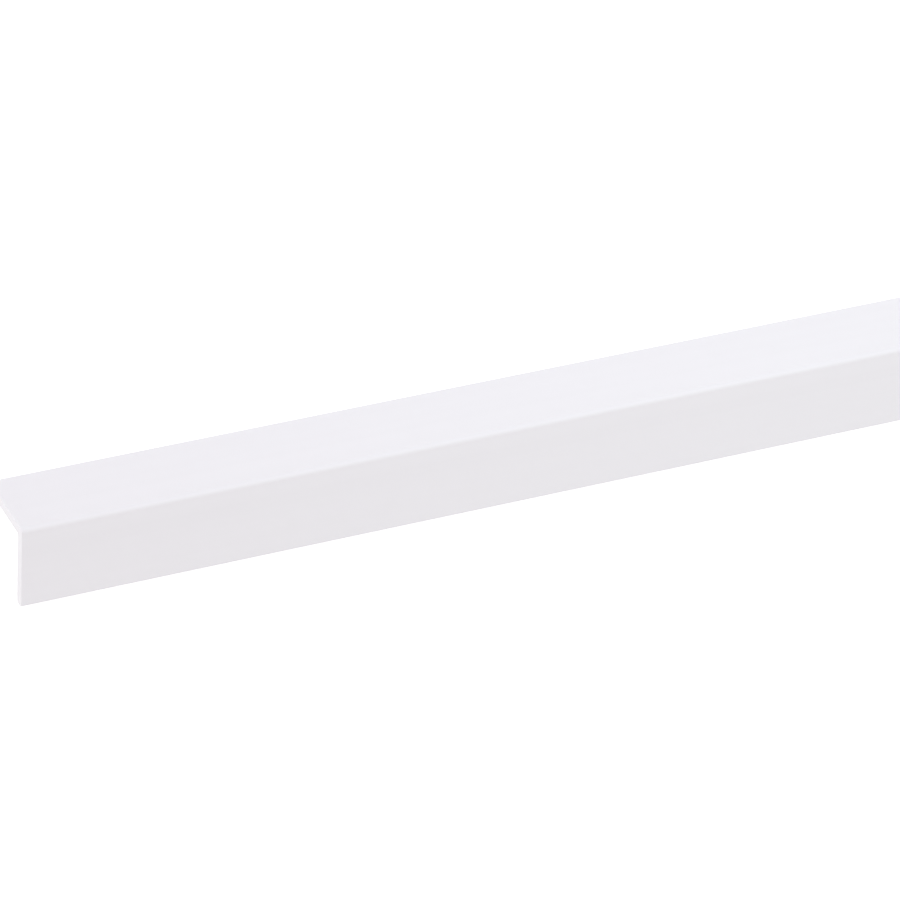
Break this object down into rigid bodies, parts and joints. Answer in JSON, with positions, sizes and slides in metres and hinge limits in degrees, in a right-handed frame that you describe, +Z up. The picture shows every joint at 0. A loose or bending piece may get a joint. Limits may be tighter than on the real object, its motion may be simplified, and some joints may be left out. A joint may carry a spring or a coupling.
{
  "type": "corner guard moulding",
  "caption": "Stock length of white rigid PVC angle with equal legs, glued over the outside corner of a wall to cover and protect it.",
  "frame": {"origin": "on the floor that the guard lies on, under the middle of its outer corner", "axes": "+X along the length, +Z up: the outer corner is on top and both toes are on the floor, so that each leg slopes down at 45 degrees, one towards +Y and the other towards -Y"},
  "size_m": [2.4384, 0.0266, 0.0145],
  "materials": {
    "white_pvc": "satin"
  },
  "bodies": {
    "root": {"corner_guard": "white_pvc"}
  },
  "joints": []
}
